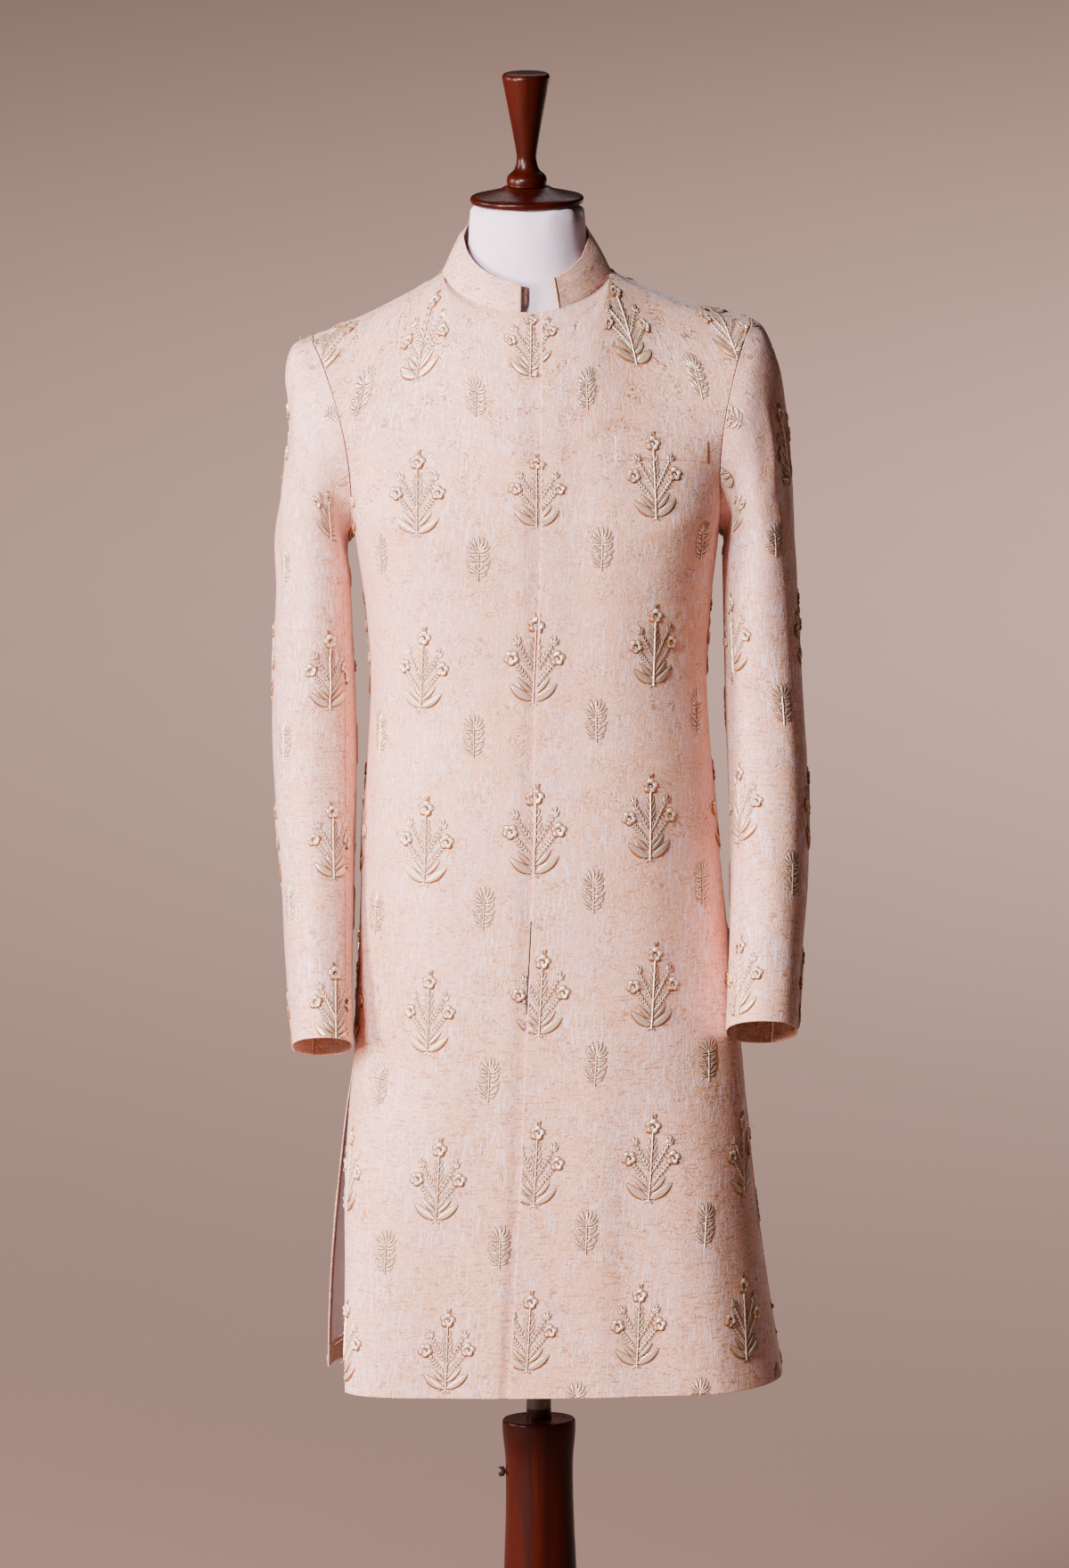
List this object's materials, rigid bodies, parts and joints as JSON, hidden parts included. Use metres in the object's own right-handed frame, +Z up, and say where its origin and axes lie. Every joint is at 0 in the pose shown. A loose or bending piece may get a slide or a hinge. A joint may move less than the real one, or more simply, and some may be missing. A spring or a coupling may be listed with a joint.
{
  "type": "sherwani coat on a limbless dress form",
  "caption": "Knee-length sherwani coat with a stand collar, concealed front closure, breast welt pocket and side slits, worn by a limbless dress form on a turned wooden stand.",
  "frame": {"origin": "centre of the stand's underside, on the floor", "axes": "+Z up along the stand's rod; -Y is the coat's front; +X is the coat's own left"},
  "size_m": [0.5099, 0.38, 1.6881],
  "materials": {
    "jacquard": "satin",
    "satin_lining": "satin",
    "form_jersey": "matte",
    "turned_wood": "satin",
    "dark_metal": "satin"
  },
  "bodies": {
    "stand": {"stand_base": "turned_wood", "stand_post": "turned_wood"},
    "mast": {"stand_rod": "dark_metal"},
    "figure": {"form_body": "form_jersey", "form_socket": "dark_metal", "neck_cap": "turned_wood", "neck_finial": "turned_wood", "back_lining": "satin_lining", "front_left": "jacquard", "front_right": "jacquard", "back": "jacquard", "collar": "jacquard", "pocket_welt": "jacquard", "right_sleeve_top": "jacquard", "right_sleeve_under": "jacquard", "left_sleeve_top": "jacquard", "left_sleeve_under": "jacquard"},
    "screw": {"clamp_screw": "dark_metal"}
  },
  "joints": [
    {"name": "mast_slide", "type": "slide", "parent": "stand", "child": "mast", "axis": [0, 0, 1], "range_m": [-0.12, 0.12]},
    {"name": "form_turn", "type": "hinge", "parent": "mast", "child": "figure", "pos_m": [0, 0, 0.765], "axis": [0, 0, 1], "continuous": true},
    {"name": "clamp_screw_turn", "type": "hinge", "parent": "stand", "child": "screw", "pos_m": [-0.03, 0, 0.3345], "axis": [-1, 0, 0], "range_deg": [0, 360]}
  ]
}
